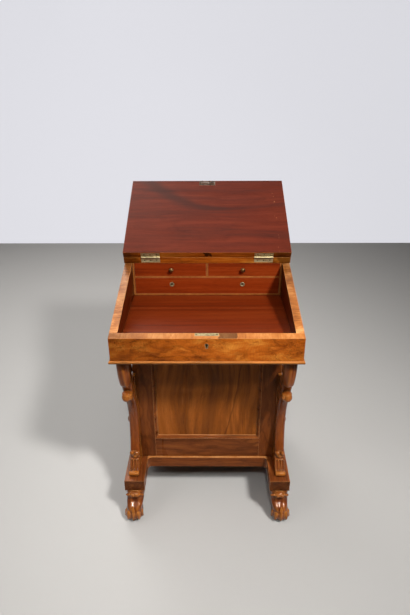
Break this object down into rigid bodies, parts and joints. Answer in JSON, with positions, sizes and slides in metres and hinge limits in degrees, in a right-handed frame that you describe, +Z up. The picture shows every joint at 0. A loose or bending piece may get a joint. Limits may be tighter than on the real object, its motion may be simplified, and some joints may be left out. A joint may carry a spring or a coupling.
{
  "type": "davenport desk",
  "caption": "Victorian walnut davenport: sloping lid thrown back over a well with small drawers, carved console supports, panelled pedestal with side drawers, scroll feet on casters",
  "frame": {"origin": "on the floor under the middle of the desk's box with the lid thrown back", "axes": "+X to the sitter's right, +Y to the back of the desk, +Z up"},
  "size_m": [0.546, 0.6786, 0.9804],
  "materials": {
    "walnut": "French polished, worn",
    "mahogany": "polished, dulled",
    "pine": "planed, unfinished",
    "aged_brass": "tarnished",
    "leather": "waxed, worn",
    "caster_brass": "dark with handling"
  },
  "bodies": {
    "desk": {"box_base": "walnut", "front_rail": "walnut", "right_side": "walnut", "left_side": "walnut", "box_back": "walnut", "well_floor_front": "mahogany", "well_floor_back": "mahogany", "well_bearers": "pine", "fixed_top": "walnut", "gallery_back": "walnut", "gallery_ends": "walnut", "hinge_fixed_leaves": "aged_brass", "lock_case": "aged_brass", "keyhole_escutcheon": "aged_brass", "unit_carcase": "mahogany", "pedestal_front_frame": "walnut", "pedestal_front_panel": "walnut", "pedestal_back_frame": "walnut", "pedestal_back_panel": "walnut", "panel_mouldings": "walnut", "pedestal_left_side": "walnut", "drawer_rails": "walnut", "drawer_runners": "pine", "pedestal_bottom": "pine", "dummy_drawer_fronts": "walnut", "dummy_drawer_knobs": "walnut", "right_sledge": "walnut", "left_sledge": "walnut", "base_front_rail": "walnut", "base_rear_rail": "walnut", "right_support": "walnut", "left_support": "walnut", "caster_sockets": "caster_brass", "front_right_foot": "walnut", "front_left_foot": "walnut", "rear_feet": "walnut"},
    "lid": {"lid_board": "walnut", "lid_leather": "leather", "hinge_lid_leaves": "aged_brass", "hinge_pins": "aged_brass", "link_plate": "aged_brass"},
    "lock_bolt": {"lock_bolt": "aged_brass"},
    "left_small_drawer": {"left_small_drawer": "mahogany", "left_small_knob": "aged_brass"},
    "right_small_drawer": {"right_small_drawer": "mahogany", "right_small_knob": "aged_brass"},
    "long_drawer": {"long_drawer": "mahogany", "long_drawer_rings": "aged_brass"},
    "side_drawer_1": {"side_drawer_1": "walnut"},
    "side_drawer_2": {"side_drawer_2": "walnut"},
    "side_drawer_3": {"side_drawer_3": "walnut"},
    "side_drawer_4": {"side_drawer_4": "walnut"},
    "front_left_fork": {"front_left_caster_fork": "caster_brass"},
    "front_left_wheel": {"front_left_caster_wheel": "caster_brass"},
    "front_right_fork": {"front_right_caster_fork": "caster_brass"},
    "front_right_wheel": {"front_right_caster_wheel": "caster_brass"},
    "rear_left_fork": {"rear_left_caster_fork": "caster_brass"},
    "rear_left_wheel": {"rear_left_caster_wheel": "caster_brass"},
    "rear_right_fork": {"rear_right_caster_fork": "caster_brass"},
    "rear_right_wheel": {"rear_right_caster_wheel": "caster_brass"}
  },
  "joints": [
    {"name": "lid_hinge", "type": "hinge", "parent": "desk", "child": "lid", "pos_m": [0, 0.01518, 0.79838], "axis": [1, 0, 0], "range_deg": [0, 167]},
    {"name": "lock_bolt_slide", "type": "slide", "parent": "desk", "child": "lock_bolt", "axis": [1, 0, 0], "range_m": [0, 0.006]},
    {"name": "left_small_drawer_slide", "type": "slide", "parent": "desk", "child": "left_small_drawer", "axis": [0, 1, 0], "range_m": [-0.105, 0]},
    {"name": "right_small_drawer_slide", "type": "slide", "parent": "desk", "child": "right_small_drawer", "axis": [0, 1, 0], "range_m": [-0.105, 0]},
    {"name": "long_drawer_slide", "type": "slide", "parent": "desk", "child": "long_drawer", "axis": [0, 1, 0], "range_m": [-0.105, 0]},
    {"name": "side_drawer_4_slide", "type": "slide", "parent": "desk", "child": "side_drawer_4", "axis": [1, 0, 0], "range_m": [0, 0.3]},
    {"name": "side_drawer_3_slide", "type": "slide", "parent": "desk", "child": "side_drawer_3", "axis": [1, 0, 0], "range_m": [0, 0.3]},
    {"name": "side_drawer_2_slide", "type": "slide", "parent": "desk", "child": "side_drawer_2", "axis": [1, 0, 0], "range_m": [0, 0.3]},
    {"name": "side_drawer_1_slide", "type": "slide", "parent": "desk", "child": "side_drawer_1", "axis": [1, 0, 0], "range_m": [0, 0.3]},
    {"name": "front_left_swivel", "type": "hinge", "parent": "desk", "child": "front_left_fork", "pos_m": [-0.24075, -0.31482, 0.023], "axis": [0, 0, 1], "continuous": true},
    {"name": "front_left_roll", "type": "hinge", "parent": "front_left_fork", "child": "front_left_wheel", "pos_m": [-0.24075, -0.32182, 0.01], "axis": [1, 0, 0], "continuous": true},
    {"name": "front_right_swivel", "type": "hinge", "parent": "desk", "child": "front_right_fork", "pos_m": [0.24075, -0.31482, 0.023], "axis": [0, 0, 1], "continuous": true},
    {"name": "front_right_roll", "type": "hinge", "parent": "front_right_fork", "child": "front_right_wheel", "pos_m": [0.24075, -0.32182, 0.01], "axis": [1, 0, 0], "continuous": true},
    {"name": "rear_left_swivel", "type": "hinge", "parent": "desk", "child": "rear_left_fork", "pos_m": [-0.23525, 0.13318, 0.023], "axis": [0, 0, 1], "continuous": true},
    {"name": "rear_left_roll", "type": "hinge", "parent": "rear_left_fork", "child": "rear_left_wheel", "pos_m": [-0.23525, 0.12618, 0.01], "axis": [1, 0, 0], "continuous": true},
    {"name": "rear_right_swivel", "type": "hinge", "parent": "desk", "child": "rear_right_fork", "pos_m": [0.23525, 0.13318, 0.023], "axis": [0, 0, 1], "continuous": true},
    {"name": "rear_right_roll", "type": "hinge", "parent": "rear_right_fork", "child": "rear_right_wheel", "pos_m": [0.23525, 0.12618, 0.01], "axis": [1, 0, 0], "continuous": true}
  ]
}
